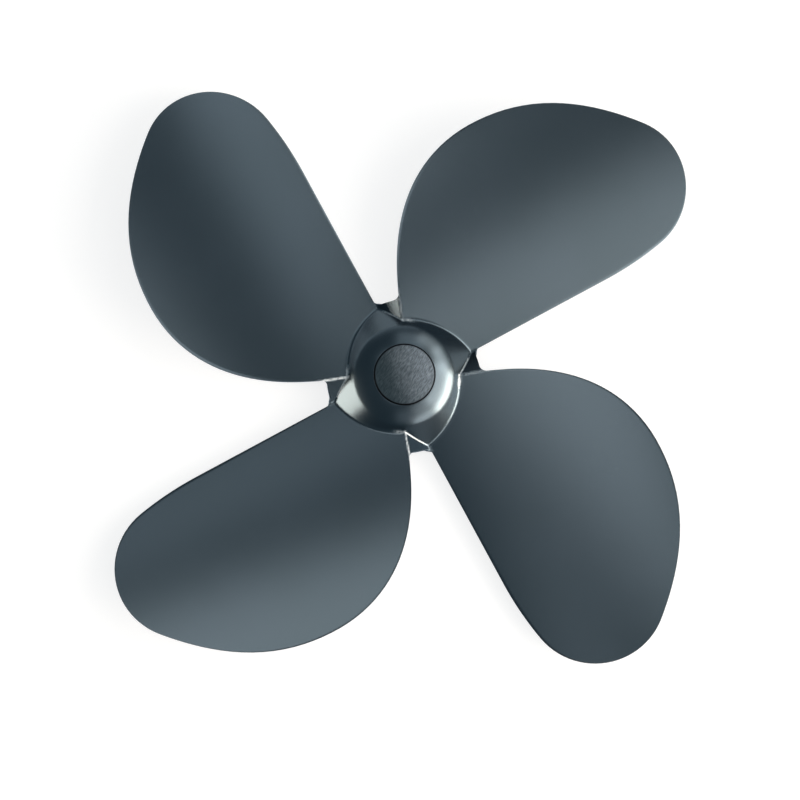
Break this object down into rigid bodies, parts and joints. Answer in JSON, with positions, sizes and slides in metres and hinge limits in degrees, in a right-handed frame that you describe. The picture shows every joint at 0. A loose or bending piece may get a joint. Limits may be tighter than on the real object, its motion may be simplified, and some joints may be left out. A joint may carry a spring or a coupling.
{
  "type": "stove fan propeller",
  "caption": "Sheet-metal fan propeller with broad cambered blades, folded webs, a domed hub, a brushed front cap and a boss that locks on a motor shaft.",
  "frame": {"origin": "on the shaft axis, in the plane of the boss's back face", "axes": "+Z along the shaft axis, out of the front of the propeller; +X along the grub screw, out of the boss"},
  "size_m": [0.1438, 0.1438, 0.0132],
  "materials": {
    "blade_pressing": "dark anodised, satin",
    "hub_boss": "turned",
    "front_cap": "dark anodised, brushed in one direction",
    "grub_screw": "black oxide"
  },
  "bodies": {
    "propeller": {"blade_pressing": "blade_pressing", "hub_boss": "hub_boss", "front_cap": "front_cap"},
    "set_screw": {"grub_screw": "grub_screw"}
  },
  "joints": [
    {"name": "screw_travel", "type": "slide", "parent": "propeller", "child": "set_screw", "axis": [1, 0, 0], "range_m": [-0.0006, 0.0024]}
  ]
}
